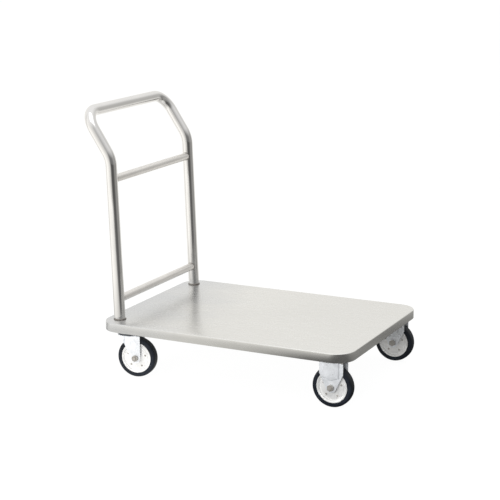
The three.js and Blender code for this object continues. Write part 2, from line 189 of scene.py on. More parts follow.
# ---- materials ----
def brushed_sheet():
    """Brushed stainless sheet: grain along X, fine mottling, and painted shade, darker and bluer towards the
    handle, standing in for the handle's reflection.
    """
    color = (0.84, 0.835, 0.81)
    # Painted shade: the grey the deck takes at the handle end, standing in for the handle's blurred
    # reflection.
    handle_reflection_shade = (0.66, 0.675, 0.70)
    shader = Shader("brushed_sheet", color, 0.27, 1.0, Anisotropic=0.4)
    grain = shader.noise((8, 1100, 1100), 6, 0.7)
    mottle = shader.noise((26, 80, 60), 7, 0.66)
    clouds = shader.noise((5, 7, 7), 5, 0.6)
    split = shader.node("ShaderNodeSeparateXYZ")
    shader.link(shader.coords, split.inputs["Vector"])
    wander = shader.node("ShaderNodeMath", operation="MULTIPLY_ADD")
    wander.inputs[1].default_value = 0.35
    shader.link(clouds, wander.inputs[0])
    shader.link(split.outputs["X"], wander.inputs[2])
    # Painted shade mask: X plus a little noise, so the colour darkens towards the handle end.
    painted_handle_reflection = shader.tint(shader.spread(wander.outputs["Value"], 0, 1, -0.24, 0.10), handle_reflection_shade, color, 0.0, 1.0)
    speckle = shader.tint(mottle, (0.965, 0.965, 0.96), (1.0, 1.0, 1.0), 0.36, 0.64)
    blend = shader.node("ShaderNodeMix", data_type="RGBA", blend_type="MULTIPLY")
    blend.inputs["Factor"].default_value = 1.0
    shader.link(painted_handle_reflection, blend.inputs[MIX_FIRST])
    shader.link(speckle, blend.inputs[MIX_SECOND])
    shader.colour(blend.outputs[MIX_RESULT])
    shader.rough(shader.spread(mottle, 0.23, 0.29))
    shader.bump((grain, 0.12, 0.00003), (clouds, 0.15, 0.0004))
    return shader.material


def channel_sheet():
    color = (0.70, 0.70, 0.69)
    shader = Shader("channel_sheet", color, 0.42, 1.0)
    grain = shader.noise((500, 8, 500), 5, 0.6)
    stain = shader.noise((14, 14, 14), 6, 0.65)
    shader.colour(shader.tint(stain, shade(color, 0.82), shade(color, 1.06)))
    shader.rough(shader.spread(stain, 0.34, 0.52))
    shader.bump((grain, 0.2, 0.00005))
    return shader.material


def polished_tube():
    color = (0.86, 0.85, 0.835)
    shader = Shader("polished_tube", color, 0.06, 1.0)
    polish = shader.noise((420, 420, 14), 5, 0.6)
    hands = shader.noise((9, 9, 9), 6, 0.6)
    shader.colour(shader.tint(hands, shade(color, 0.95), shade(color, 1.03)))
    shader.rough(shader.spread(polish, 0.03, 0.09))
    shader.bump((polish, 0.06, 0.00002), (hands, 0.10, 0.0002))
    return shader.material


def satin_tube():
    color = (0.86, 0.84, 0.81)
    shader = Shader("satin_tube", color, 0.3, 1.0)
    polish = shader.noise((500, 10, 500), 5, 0.65)
    hands = shader.noise((12, 12, 12), 5, 0.6)
    shader.colour(shader.tint(hands, shade(color, 0.94), shade(color, 1.05)))
    shader.rough(shader.spread(polish, 0.24, 0.36))
    shader.bump((polish, 0.2, 0.00004))
    return shader.material


def weld_collar():
    # The dark weld colour is painted shade for the shadow at the post's foot, also used on the crossbar
    # beads; the noise only varies it at random.
    color = (0.34, 0.32, 0.30)
    shader = Shader("weld_collar", color, 0.34, 1.0)
    weld_mottle = shader.noise((70, 70, 240), 5, 0.6)
    shader.colour(shader.tint(weld_mottle, (0.17, 0.15, 0.14), (0.44, 0.42, 0.39)))
    shader.rough(shader.spread(weld_mottle, 0.25, 0.5))
    shader.bump((weld_mottle, 0.4, 0.0004))
    return shader.material


def tyre_rubber():
    color = (0.009, 0.012, 0.018)
    shader = Shader("tyre_rubber", color, 0.5, 0.0, Specular_IOR_Level=0.28)
    grain = shader.noise((900, 900, 900), 3, 0.6)
    dust = shader.noise((26, 26, 26), 7, 0.7)
    shader.colour(shader.tint(dust, shade(color, 0.75), (0.020, 0.025, 0.035), 0.4, 0.75))
    shader.rough(shader.spread(dust, 0.42, 0.66))
    shader.bump((grain, 0.35, 0.0001), (dust, 0.15, 0.0004))
    return shader.material


def zinc(name, color, rough_low, rough_high):
    shader = Shader(name, color, (rough_low + rough_high) / 2, 0.42)
    spangle = shader.node("ShaderNodeTexVoronoi")
    spangle.inputs["Scale"].default_value = 1.0
    shader.link(shader.scaled((210, 210, 210)), spangle.inputs["Vector"])
    cells = spangle.outputs["Color"]
    stain = shader.noise((30, 30, 30), 6, 0.6)
    orange_peel = shader.noise((420, 420, 420), 3, 0.5)
    grey = shader.node("ShaderNodeRGBToBW")
    shader.link(cells, grey.inputs["Color"])
    mixed = shader.node("ShaderNodeMath", operation="MULTIPLY_ADD")
    mixed.inputs[1].default_value = 0.25
    shader.link(grey.outputs["Val"], mixed.inputs[0])
    shader.link(stain, mixed.inputs[2])
    shader.colour(shader.tint(mixed.outputs["Value"], shade(color, 0.88), shade(color, 1.05), 0.4, 0.8))
    shader.rough(shader.spread(stain, rough_low, rough_high))
    shader.bump((orange_peel, 0.15, 0.00006))
    return shader.material


def dark_steel():
    color = (0.20, 0.215, 0.235)
    shader = Shader("dark_steel", color, 0.36, 0.9)
    oil = shader.noise((60, 60, 60), 5, 0.6)
    shader.colour(shader.tint(oil, shade(color, 0.6), shade(color, 1.3)))
    shader.rough(shader.spread(oil, 0.22, 0.5))
    shader.bump((oil, 0.2, 0.0001))
    return shader.material


MATERIALS = {
    "brushed_sheet": brushed_sheet(),
    "channel_sheet": channel_sheet(),
    "polished_tube": polished_tube(),
    "satin_tube": satin_tube(),
    "weld_collar": weld_collar(),
    "tyre_rubber": tyre_rubber(),
    "rim_zinc": zinc("rim_zinc", (0.93, 0.93, 0.925), 0.26, 0.42),
    "zinc_plate": zinc("zinc_plate", (0.89, 0.915, 0.95), 0.24, 0.40),
    "fastener_zinc": zinc("fastener_zinc", (0.44, 0.42, 0.39), 0.30, 0.46),
    "dark_steel": dark_steel(),
}


# ---- mesh helpers ----
def millimetres(points):
    return [tuple(value * MM for value in point) for point in points]


def around(loop):
    """Each item of a closed loop, with the item after it."""
    return zip(loop, loop[1:] + loop[:1])


def band(a, b, count):
    """Faces between two closed loops of vertices that start at a and b."""
    return [(a + k, a + m, b + m, b + k) for k, m in around(list(range(count)))]


def strip(a, b, count):
    """Faces between two open rows of vertices that start at a and b."""
    return [(a + k, a + k + 1, b + k + 1, b + k) for k in range(count - 1)]


def mesh_piece(name, verts, faces, slot, sharp=35):
    """A mesh object with its material, smooth except along edges sharper than `sharp` degrees."""
    mesh = bpy.data.meshes.new(name)
    mesh.from_pydata([tuple(v) for v in verts], [], faces)
    return finished(name, mesh, slot, sharp)


def finished(name, mesh, slot, sharp=35):
    """The mesh cleaned, shaded and given its material, as an object of its own."""
    work = bmesh.new()
    work.from_mesh(mesh)
    bmesh.ops.remove_doubles(work, verts=work.verts, dist=1e-7)
    bmesh.ops.dissolve_degenerate(work, edges=work.edges, dist=1e-7)
    bmesh.ops.recalc_face_normals(work, faces=work.faces)
    for face in work.faces:
        face.smooth = True
    for edge in work.edges:
        angle = edge.calc_face_angle(math.pi)
        edge.smooth = angle < math.radians(sharp)
    work.to_mesh(mesh)
    work.free()
    mesh.materials.clear()
    mesh.materials.append(MATERIALS[slot])
    piece = bpy.data.objects.new(name, mesh)
    bpy.context.scene.collection.objects.link(piece)
    return piece


def rounded(points, radius, steps=4, is_closed=True):
    """The outline with its corners rounded. Each point is (x, y) or (x, y, its own radius)."""
    result = []
    count = len(points)
    for i, point in enumerate(points):
        here = Vector(point[:2])
        r = point[2] if len(point) > 2 else radius
        if r <= 0 or (not is_closed and i in (0, count - 1)):
            result.append(here)
            continue
        before = Vector(points[i - 1][:2]) - here
        after = Vector(points[(i + 1) % count][:2]) - here
        turn = before.angle(after)
        if turn > math.pi - 1e-3:
            result.append(here)
            continue
        setback = min(r / math.tan(turn / 2), before.length * 0.49, after.length * 0.49)
        r = setback * math.tan(turn / 2)
        start = here + before.normalized() * setback
        end = here + after.normalized() * setback
        middle = here + (before.normalized() + after.normalized()).normalized() * (r / math.sin(turn / 2))
        from_angle = math.atan2(*(start - middle).yx)
        sweep = (math.atan2(*(end - middle).yx) - from_angle + math.pi) % (2 * math.pi) - math.pi
        for k in range(steps + 1):
            angle = from_angle + sweep * k / steps
            result.append(middle + Vector((math.cos(angle), math.sin(angle))) * r)
    return result


def lathe(outline, steps=64):
    """Vertices and faces of a closed (radius, y) outline turned about Y. Radius 0 points meet the axis."""
    verts = []
    faces = []
    count = len(outline)
    for k in range(steps):
        angle = 2 * math.pi * k / steps
        for r, y in outline:
            verts.append((r * math.sin(angle), y, r * math.cos(angle)))
    for k in range(steps):
        a = k * count
        b = ((k + 1) % steps) * count
        for i in range(count):
            j = (i + 1) % count
            if outline[i][0] < 1e-9 and outline[j][0] < 1e-9:
                continue
            faces.append((a + i, a + j, b + j, b + i))
    return verts, faces


def turned(name, outline, slot, round_by=0.0, steps=64, upright=False):
    """A closed (radius, height) outline turned about Y, or about Z when upright."""
    if round_by:
        outline = rounded(outline, round_by, 3)
    verts, faces = lathe([tuple(p[:2]) for p in outline], steps)
    piece = mesh_piece(name, verts, faces, slot)
    if upright:
        piece.data.transform(Matrix.Rotation(math.pi / 2, 4, "X"))
    return piece


def circle(x, y, radius, steps=32):
    turns = [2 * math.pi * k / steps for k in range(steps)]
    return [(x + radius * math.cos(t), y + radius * math.sin(t)) for t in turns]


def plate(name, outlines, low, high, slot, edge=0.4 * MM):
    """A flat plate between z = low and high, from an outline and its holes, with softened edges."""
    curve = bpy.data.curves.new(name, "CURVE")
    curve.dimensions = "2D"
    curve.fill_mode = "BOTH"
    curve.extrude = (high - low) / 2 - edge
    curve.bevel_depth = edge
    curve.bevel_resolution = 2
    curve.offset = -edge
    for outline in outlines:
        spline = curve.splines.new("POLY")
        spline.points.add(len(outline) - 1)
        for point, place in zip(spline.points, outline):
            point.co = (place[0], place[1], 0, 1)
        spline.use_cyclic_u = True
    holder = bpy.data.objects.new(name + "_curve", curve)
    bpy.context.scene.collection.objects.link(holder)
    bpy.context.view_layer.update()
    mesh = bpy.data.meshes.new_from_object(holder.evaluated_get(bpy.context.evaluated_depsgraph_get()))
    bpy.data.objects.remove(holder)
    bpy.data.curves.remove(curve)
    mesh.name = name
    mesh.transform(Matrix.Translation((0, 0, (low + high) / 2)))
    return finished(name, mesh, slot)


def wall_plate(name, outlines, y0, y1, slot):
    """An (x, z) outline made into a plate standing between y0 and y1."""
    piece = plate(name, outlines, -y1, -y0, slot)
    piece.data.transform(Matrix.Rotation(math.pi / 2, 4, "X"))
    return piece


def joined(name, *pieces):
    """One piece from several made with the same material."""
    whole = bmesh.new()
    for piece in pieces:
        whole.from_mesh(piece.data)
    whole.to_mesh(pieces[0].data)
    whole.free()
    for piece in pieces[1:]:
        bpy.data.objects.remove(piece)
    pieces[0].name = name
    pieces[0].data.name = name
    return pieces[0]


def fixed(piece, body, matrix=None, replaces=()):
    """The piece put in its place on a body, standing in for the CAD nodes named."""
    if matrix is not None:
        piece.data.transform(matrix)
    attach(piece, body)
    if replaces:
        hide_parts(*replaces)
    return piece


def hull(points):
    """The convex outline round (x, y) points."""
    def chain(ordered):
        side = []
        for p in ordered:
            while len(side) > 1 and (
                (side[-1][0] - side[-2][0]) * (p[1] - side[-2][1])
                - (side[-1][1] - side[-2][1]) * (p[0] - side[-2][0])
            ) <= 0:
                side.pop()
            side.append(p)
        return side[:-1]
    ordered = sorted(points)
    return chain(ordered) + chain(ordered[::-1])


# ---- deck ----
def rounded_box_ring(inset, z, steps=12):
    """Points round the deck outline, set in by `inset`, at height z."""
    half_x = HALF_LENGTH - inset
    half_y = HALF_WIDTH - inset
    radius = max(DECK_CORNER - inset, 0.002)
    ring = []
    for quarter, (sx, sy) in enumerate(((1, 1), (-1, 1), (-1, -1), (1, -1))):
        cx = sx * (half_x - radius)
        cy = sy * (half_y - radius)
        for k in range(steps + 1):
            angle = math.pi / 2 * (quarter + k / steps)
            ring.append(Vector((DECK_X + cx + radius * math.cos(angle), cy + radius * math.sin(angle), z)))
    return ring


def deck_profile():
    """(inset, height) points from the top face over its edge, down the skirt and back up inside."""
    profile = []
    for k in range(7):
        angle = math.pi / 2 * k / 6
        profile.append((DECK_EDGE * (1 - math.sin(angle)), DECK_TOP - DECK_EDGE * (1 - math.cos(angle))))
    for inset, rise in ((0, 0.5), (0.15, 0.1), (0.5, 0), (0.85, 0.1), (1, 0.5)):
        profile.append((DECK_SHEET * inset, deck_low.z + DECK_SHEET * rise))
    inner = DECK_EDGE - DECK_SHEET
    for k in range(5):
        angle = math.pi / 2 * (1 - k / 4)
        profile.append((
            DECK_SHEET + inner * (1 - math.sin(angle)),
            DECK_TOP - DECK_SHEET - inner * (1 - math.cos(angle)),
        ))
    return profile


def skinned(work, first, second):
    for (a, b), (c, d) in zip(around(first), around(second)):
        work.faces.new((a, b, d, c))


def deck_panel():
    """The pressed deck: a rounded top edge, a skirt and an open underside, all one sheet."""
    work = bmesh.new()
    rings = []
    for inset, z in deck_profile():
        rings.append([work.verts.new(p) for p in rounded_box_ring(inset, z)])
    for first, second in zip(rings, rings[1:]):
        skinned(work, first, second)
    holes = []
    for ring, z in ((rings[0], DECK_TOP), (rings[-1], DECK_TOP - DECK_SHEET)):
        edges = [work.edges.get(pair) for pair in around(ring)]
        pair_of_holes = []
        for side in HANDS.values():
            outline = circle(POST_X, side * POST_Y, POST_RADIUS + POST_HOLE_GAP, 48)
            hole = [work.verts.new((x, y, z)) for x, y in outline]
            pair_of_holes.append(hole)
            edges += [work.edges.new(pair) for pair in around(hole)]
        bmesh.ops.triangle_fill(work, edges=edges, use_beauty=True)
        holes.append(pair_of_holes)
    for top, bottom in zip(*holes):
        skinned(work, top, bottom)
    mesh = bpy.data.meshes.new("deck_panel_sheet")
    work.to_mesh(mesh)
    work.free()
    fixed(finished("deck_panel_sheet", mesh, "brushed_sheet", 50), "frame", replaces=["deck_panel"])


# ---- tubes ----
def arc_between(start, start_direction, end_direction, radius, steps):
    """Points on an arc leaving `start` along one direction and ending along the other."""
    turn = start_direction.angle(end_direction)
    normal = start_direction.cross(end_direction).normalized()
    inward = normal.cross(start_direction).normalized()
    middle = start + inward * radius
    points = []
    for k in range(steps + 1):
        spin = Matrix.Rotation(turn * k / steps, 3, normal)
        points.append(middle + spin @ (-inward * radius))
    return points


def handle_path():
    """The centre line of the handle from the left foot over the top to the right foot."""
    up = Vector((-math.sin(POST_RAKE), 0, math.cos(POST_RAKE)))
    back = Vector((-math.sin(GRIP_LEAN), 0, math.cos(GRIP_LEAN)))
    over = Vector((0, -1, 0))
    foot = Vector((POST_X, POST_Y, DECK_TOP)) - up * (16.8 * MM)
    knee = Vector((POST_X, POST_Y, DECK_TOP)) + up * ((BEND_Z - DECK_TOP) / up.z)
    setback = BEND_RADIUS * math.tan(up.angle(back) / 2)
    path = [foot, foot.lerp(knee - up * setback, 0.5)]
    path += arc_between(knee - up * setback, up, back, BEND_RADIUS, 10)
    end = knee + back * GRIP_LENGTH
    path += arc_between(end - back * GRIP_CORNER, back, over, GRIP_CORNER, 14)
    mirror = [Vector((p.x, -p.y, p.z)) for p in reversed(path)]
    return path + mirror


def swept(name, path, outer, inner, slot, steps=48):
    """A hollow round tube along a path, its ends closed by a narrow rim."""
    rings = []
    across = None
    for i, point in enumerate(path):
        ahead = path[min(i + 1, len(path) - 1)]
        behind = path[max(i - 1, 0)]
        along = (ahead - behind).normalized()
        if across is None:
            across = along.orthogonal().normalized()
        across = (across - along * across.dot(along)).normalized()
        rings.append((point, across, along.cross(across)))
    verts = []
    for radius, order in ((outer, 1), (inner, -1)):
        for point, first, second in rings[::order]:
            for k in range(steps):
                angle = 2 * math.pi * k / steps
                verts.append(point + (first * math.cos(angle) + second * math.sin(angle)) * radius)
    faces = []
    loops = 2 * len(rings)
    for i in range(loops):
        faces += band(i * steps, (i + 1) % loops * steps, steps)
    return mesh_piece(name, verts, faces, slot, 50)


def handle_bow():
    outer = POST_RADIUS - 0.03 * MM
    piece = swept("handle_tube", handle_path(), outer, POST_RADIUS - POST_WALL, "polished_tube")
    fixed(piece, "frame", replaces=["handle_bow"])


def bar_end(x):
    """How far from the cart's middle a crossbar reaches, at x across its axis, to meet the post's curve."""
    return POST_Y - math.sqrt((POST_RADIUS + POST_GAP) ** 2 - x ** 2)


def crossbar(node, name):
    """A tube between the posts, its ends cut to the post's curve, with a weld bead at each end."""
    middle = centre(node)
    steps = 36
    spans = (-1, -0.5, 0, 0.5, 1)
    rows = len(spans)
    verts = []
    for radius in (CROSSBAR_RADIUS, CROSSBAR_RADIUS - CROSSBAR_WALL):
        for t in spans:
            for x, z in circle(0, 0, radius, steps):
                verts.append((middle.x + x, bar_end(x) * t, middle.z + z))
    faces = []
    for shell in (0, rows):
        for row in range(shell, shell + rows - 1):
            faces += band(row * steps, (row + 1) * steps, steps)
    for row in (0, rows - 1):
        faces += band(row * steps, (rows + row) * steps, steps)
    fixed(mesh_piece(name, verts, faces, "satin_tube", 50), "frame", replaces=[node])
    for side in HANDS.values():
        fixed(weld_bead(name + "_bead", middle, side), "frame")


def weld_bead(name, middle, side):
    """A small rippled fillet where the crossbar meets the post."""
    steps = 72
    ripples = 18
    profile = 8
    verts = []
    faces = []
    for k in range(steps):
        angle = 2 * math.pi * k / steps
        size = (1.25 + 0.22 * math.cos(ripples * angle)) * MM
        radial = Vector((math.cos(angle), 0, math.sin(angle)))
        end = bar_end(CROSSBAR_RADIUS * math.cos(angle)) - 0.35 * MM
        base = Vector((middle.x, side * end, middle.z)) + radial * CROSSBAR_RADIUS
        for out, along in circle(0, 0, size, profile):
            verts.append(base + radial * out + Vector((0, side * along, 0)))
        faces += band(k * profile, (k + 1) % steps * profile, profile)
    return mesh_piece(name, verts, faces, "weld_collar", 70)


def post_collar(node, name):
    """The weld round a post at the deck: a sloped ring with ripples, leaning as the post does."""
    low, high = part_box(node)
    mid = (low + high) / 2
    height = (high.z - low.z) * 0.75
    steps = 96
    ripples = 24
    bore = POST_RADIUS + 0.1 * MM
    outer = bore + 2.3 * MM
    edge = 0.7 * MM
    outline = [(bore, 0), (bore, height), (bore + edge, height), (outer - edge, height * 0.42), (outer, 0)]
    outline = rounded(outline, edge, 3)
    count = len(outline)
    verts = []
    faces = []
    for k in range(steps):
        angle = 2 * math.pi * k / steps
        wave = 0.25 * MM * math.cos(ripples * angle)
        for r, z in outline:
            free = min(1, max(0, (r - bore) / (1.2 * MM)))
            radius = min(r + wave * free, outer)
            x = mid.x - POST_RAKE * z + radius * math.cos(angle)
            verts.append((x, mid.y + radius * math.sin(angle), low.z + z))
        faces += band(k * count, (k + 1) % steps * count, count)
    fixed(mesh_piece(name, verts, faces, "weld_collar", 60), "frame", replaces=[node])


# ---- fasteners ----
def hex_prism(name, width, low, high, bore=0.0, chamfer=1.2 * MM):
    """A nut or bolt head standing on Z, both faces turned off at the corners."""
    sides = 48
    half = width / 2
    face = half * 0.985
    corner = width / math.sqrt(3) * 0.995
    levels = ((low, face), (low + chamfer / 2, corner), (high - chamfer / 2, corner), (high, face))
    verts = []
    for z, limit in levels:
        for k in range(sides):
            angle = 2 * math.pi * k / sides
            from_flat = (angle + math.pi / 6) % (math.pi / 3) - math.pi / 6
            radius = min(half / math.cos(from_flat), limit)
            verts.append((radius * math.cos(angle), radius * math.sin(angle), z))
    faces = []
    for loop in range(3):
        faces += band(loop * sides, (loop + 1) * sides, sides)
    if bore:
        lead = 0.6 * MM
        for z, radius in ((high, bore + lead), (high - lead, bore), (low + lead, bore), (low, bore + lead)):
            verts += [(x, y, z) for x, y in circle(0, 0, radius, sides)]
        for loop in range(3, 8):
            faces += band(loop * sides, (loop + 1) % 8 * sides, sides)
    else:
        faces.append(tuple(range(sides)))
        faces.append(tuple(range(3 * sides, 4 * sides)))
    return mesh_piece(name, verts, faces, "fastener_zinc", 25)


def threaded_rod(name, radius, low, start, high, pitch=1.5 * MM):
    """A rod on Z with a screw thread cut from `start` to `high`, and a chamfered tip."""
    steps = 32
    depth = 0.55 * MM
    tip = 1.0 * MM
    turns = max(2, int((high - start) / (pitch / 4)))
    rings = [(low, radius, False), (start, radius, False)]
    for i in range(1, turns):
        rings.append((start + (high - start) * i / turns, radius, True))
    rings.append((high, radius - tip, False))
    verts = []
    for z, r, is_thread in rings:
        for k in range(steps):
            angle = 2 * math.pi * k / steps
            size = r
            if is_thread:
                phase = (z - start) / pitch - k / steps
                near_tip = max(0, 1 - (high - z) / (1.2 * MM))
                size = min(r - depth * abs((phase % 1) * 2 - 1), r - tip * near_tip)
            verts.append((size * math.cos(angle), size * math.sin(angle), z))
    faces = []
    last = (len(rings) - 1) * steps
    for a in range(0, last, steps):
        faces += band(a, a + steps, steps)
    faces.append(tuple(range(steps)))
    faces.append(tuple(range(last, last + steps)))
    return mesh_piece(name, verts, faces, "fastener_zinc", 40)


# ---- wheels ----
def tyre(name):
    """A solid rubber tyre with rounded shoulders and a fine mould line round the middle."""
    half = [
        (42 * MM, 5.5 * MM, 0.8 * MM), (50.4 * MM, 5.5 * MM, 0.8 * MM), (50.4 * MM, 13.9 * MM, 0.1 * MM),
        (48.3 * MM, 13.9 * MM, 0.2 * MM), (48.3 * MM, 14.4 * MM, 0.3 * MM), (50.5 * MM, 15 * MM),
        (57.0 * MM, 15 * MM), (61.2 * MM, 12.4 * MM), (WHEEL_RADIUS - 0.26 * MM, 7.0 * MM),
        (WHEEL_RADIUS - 0.14 * MM, 0.9 * MM), (WHEEL_RADIUS, 0.3 * MM),
    ]
    outline = half + [(p[0], -p[1], *p[2:]) for p in reversed(half)]
    outline = rounded(outline, 1.6 * MM, 3)
    return turned(name, outline, "tyre_rubber", steps=96)


# One side of the rim as (radius, distance from the middle plane, corner radius), in millimetres.
RIM_SIDE = [
    (11.5, 0.2, 0), (11.5, 14, 0.7), (14, 14, 0.7), (14, 10.2, 0.9), (36.2, 10.0, 0.9), (37.6, 7.2, 1.2),
    (41.2, 7.0, 1.2), (43.2, 12.4, 1.6), (46.0, 13.6, 1.2), (50, 13.5, 0.9), (49.9, 11.7, 0.6),
    (46.5, 11.6, 1.2), (44.4, 10.8, 1.0), (42.4, 5.2, 1.2), (36.4, 5.4, 1.2), (35.0, 8, 0.9), (14, 8, 0.5),
    (14, 0.2, 0),
]


def rim_half(name, side):
    """One pressed half of the rim: a hub, a flat disc with five rivets, a groove and a flared flange."""
    outline = rounded(millimetres((r, side * y, c) for r, y, c in RIM_SIDE), 0, 4)
    shell = turned(name, outline, "rim_zinc", steps=96)
    rivets = ringed([rivet_head(side) for _ in range(5)], 30 * MM, -0.03)
    return shell, joined(name + "_rivets", *rivets)


def ringed(pieces, radius, start=0.0):
    """The pieces moved to even places on a circle about Y."""
    for k, piece in enumerate(pieces):
        angle = start + 2 * math.pi * k / len(pieces)
        piece.data.transform(Matrix.Translation((radius * math.sin(angle), 0, radius * math.cos(angle))))
    return pieces


def rivet_head(side):
    outline = [(0, 9.6), (3.1, 9.6), (3.1, 10.6), (2.2, 11.5), (0, 11.7)]
    outline = rounded(millimetres((r, side * y) for r, y in outline), 0.7 * MM, 3, is_closed=False)
    return turned("rivet", outline, "fastener_zinc", steps=20)


def roller_bearing(name):
    """A hub sleeve with a row of rollers showing at each end."""
    shell = millimetres([(8.9, -12.6), (11.2, -12.6), (11.2, 12.6), (8.9, 12.6)])
    roller = millimetres([(0, -13.4), (1.05, -13.4), (1.05, 13.4), (0, 13.4)])
    race = turned(name, shell, "dark_steel", 0.4 * MM, 48)
    rollers = ringed([turned("roller", roller, "dark_steel", 0, 12) for _ in range(9)], 9.75 * MM)
    return joined(name, race, *rollers)


def axle_sleeve(name):
    outline = millimetres([(6.3, -17.2), (8.2, -17.2), (8.2, 17.2), (6.3, 17.2)])
    return turned(name, outline, "dark_steel", 0.4 * MM, 40)


def axle_bolt(name):
    """A hexagon bolt along Y, its head on the -Y side and its thread running out past the nut."""
    head = hex_prism("head", AXLE_HEX, AXLE_HEX_FROM, AXLE_HEX_FROM + 7 * MM)
    flange = millimetres([(0, 20.3), (8.3, 20.3), (8.3, 20.9), (0, 20.9)])
    shoulder = turned("shoulder", flange, "fastener_zinc", 0, 36, upright=True)
    rod = threaded_rod("rod", AXLE_RADIUS, -22 * MM, 19 * MM, 30.3 * MM)
    for piece in (head, shoulder):
        piece.data.transform(Matrix.Rotation(math.pi, 4, "X"))
    whole = joined(name, head, shoulder, rod)
    whole.data.transform(Matrix.Rotation(-math.pi / 2, 4, "X"))
    return whole


def axle_nut(name):
    nut = hex_prism(name, AXLE_HEX, AXLE_HEX_FROM, AXLE_HEX_FROM + 8 * MM, bore=AXLE_RADIUS + 0.15 * MM)
    nut.data.transform(Matrix.Rotation(-math.pi / 2, 4, "X"))
    return nut


# ---- caster frames ----
def caster_leg(points, boss_x, side):
    """One leg of a bracket or fork: flat sheet narrowing to a round boss with the axle hole."""
    outline = hull(millimetres(points) + circle(boss_x, WHEEL_RADIUS, LEG_BOSS, 40))
    y0, y1 = sorted((side * LEG_INNER, side * LEG_OUTER))
    return wall_plate("leg", [outline, circle(boss_x, WHEEL_RADIUS, AXLE_HOLE)], y0, y1, "zinc_plate")


def rigid_bracket(name):
    """A pressed bracket: a top plate and two legs with a pressed rib down the middle of each."""
    shape = [(-37.6, 151.9), (-37.6, 104), (37.6, 104), (37.6, 151.9)]
    pieces = []
    for side in HANDS.values():
        pieces += [caster_leg(shape, 0, side), pressed_rib(side), shoulder_bend(side)]
    pieces.append(caster_plate())
    return joined(name, *pieces)


def thickened(name, verts, faces, thickness, offset):
    """A sheet given its thickness, as one closed zinc-plated piece."""
    sheet = mesh_piece(name, verts, faces, "zinc_plate", 40)
    thick = sheet.modifiers.new("thickness", "SOLIDIFY")
    thick.thickness = thickness
    thick.offset = offset
    bpy.context.view_layer.update()
    mesh = bpy.data.meshes.new_from_object(sheet.evaluated_get(bpy.context.evaluated_depsgraph_get()))
    bpy.data.objects.remove(sheet)
    return finished(name, mesh, "zinc_plate", 40)


def pressed_rib(side):
    """The raised V-ended panel on a leg, with sloped sides running into the leg."""
    outer = [(-28, 151), (-28, 91), (-1.5, 81.5), (1.5, 81.5), (28, 91), (28, 151)]
    inner = [(-22, 151), (-22, 94.2), (-1, 87.5), (1, 87.5), (22, 94.2), (22, 151)]
    outer = rounded(millimetres(outer), 5 * MM, 6, is_closed=False)
    inner = rounded(millimetres(inner), 4 * MM, 6, is_closed=False)
    low = LEG_OUTER - 1.0 * MM
    high = LEG_OUTER + 3.9 * MM
    shoulder = 5
    count = len(outer)
    verts = []
    faces = []
    for s in range(shoulder + 1):
        t = s / shoulder
        rise = t * t * (3 - 2 * t)
        for start, end in zip(outer, inner):
            p = start.lerp(end, t)
            verts.append((p.x, low + (high - low) * rise, p.y))
    for s in range(shoulder):
        faces += strip(s * count, (s + 1) * count, count)
    faces.append(tuple(range(shoulder * count, (shoulder + 1) * count)))
    rib = thickened("rib", verts, faces, 1.2 * MM, -1)
    if side < 0:
        rib.data.transform(Matrix.Scale(-1, 4, (0, 1, 0)))
    return rib


def shoulder_bend(side):
    """The folded edge joining the top plate to a leg."""
    radius = 3.5 * MM
    half = 37.2 * MM
    outline = []
    for k in range(9):
        angle = math.pi / 2 * k / 8
        outline.append((radius * math.cos(angle), radius * math.sin(angle)))
    outline.append((0, 0))
    verts = []
    for x in (-half, half):
        for a, b in outline:
            verts.append((x, side * (LEG_OUTER + radius - a), PLATE_LOW - radius + b - 0.4 * MM))
    count = len(outline)
    faces = band(0, count, count)
    faces.append(tuple(range(count)))
    faces.append(tuple(range(count, 2 * count)))
    return mesh_piece("bend", verts, faces, "zinc_plate", 40)


def caster_plate():
    """The flat plate on top of a caster, without its bolts."""
    x = PLATE_LENGTH / 2
    y = PLATE_WIDTH / 2
    outline = rounded([(x, y), (-x, y), (-x, -y), (x, -y)], 10 * MM, 8)
    return plate("plate", [outline], PLATE_LOW, PLATE_HIGH, "zinc_plate", 0.5 * MM)


def plate_bolts(name):
    """Four bolts with washers and nuts under the corners of a caster plate."""
    washer_outline = millimetres([(3.4, 149.2), (7.4, 149.2), (7.4, 150.7), (3.4, 150.7)])
    pieces = []
    for x in (PLATE_BOLT_X, -PLATE_BOLT_X):
        for y in (PLATE_BOLT_Y, -PLATE_BOLT_Y):
            washer = turned("washer", washer_outline, "fastener_zinc", 0.3 * MM, 32, upright=True)
            nut = hex_prism("nut", 11 * MM, 143.7 * MM, 149.1 * MM, 3.2 * MM, 0.9 * MM)
            rod = threaded_rod("rod", 3.1 * MM, -151 * MM, -149 * MM, -140.5 * MM, 1.1 * MM)
            rod.data.transform(Matrix.Rotation(math.pi, 4, "X"))
            for piece in (washer, nut, rod):
                piece.data.transform(Matrix.Translation((x, y, 0)))
                pieces.append(piece)
    return joined(name, *pieces)


def swivel_fork(name):
    """The turning fork: a crown, two swept-back legs and a wall folded round behind the wheel."""
    shape = [(-8, 133), (-8, 108), (45.5, 133)]
    disc = [circle(0, 0, 34 * MM, 64), circle(0, 0, KING_RADIUS + 0.5 * MM)]
    pieces = [caster_leg(shape, TRAIL, side) for side in HANDS.values()]
    pieces.append(plate("crown", disc, CROWN_TOP - 2.5 * MM, CROWN_TOP, "zinc_plate", 0.7 * MM))
    pieces.append(fold_wall())
    return joined(name, *pieces)


def fold_wall():
    """The sheet folded round the back of the fork, flaring into the crown at its top."""
    plan = rounded(millimetres([(-7, 20), (-20, 20), (-20, -20), (-7, -20)]), 10 * MM, 8, is_closed=False)
    low = 108 * MM
    height = 26 * MM
    rows = 9
    count = len(plan)
    verts = []
    faces = []
    for row in range(rows):
        t = row / (rows - 1)
        flare = 1 + 0.08 * max(0, (t - 0.6) / 0.4) ** 2
        verts += [(p.x * flare, p.y, low + height * t) for p in plan]
    for row in range(rows - 1):
        faces += strip(row * count, (row + 1) * count, count)
    return thickened("wall", verts, faces, 2.5 * MM, 1)


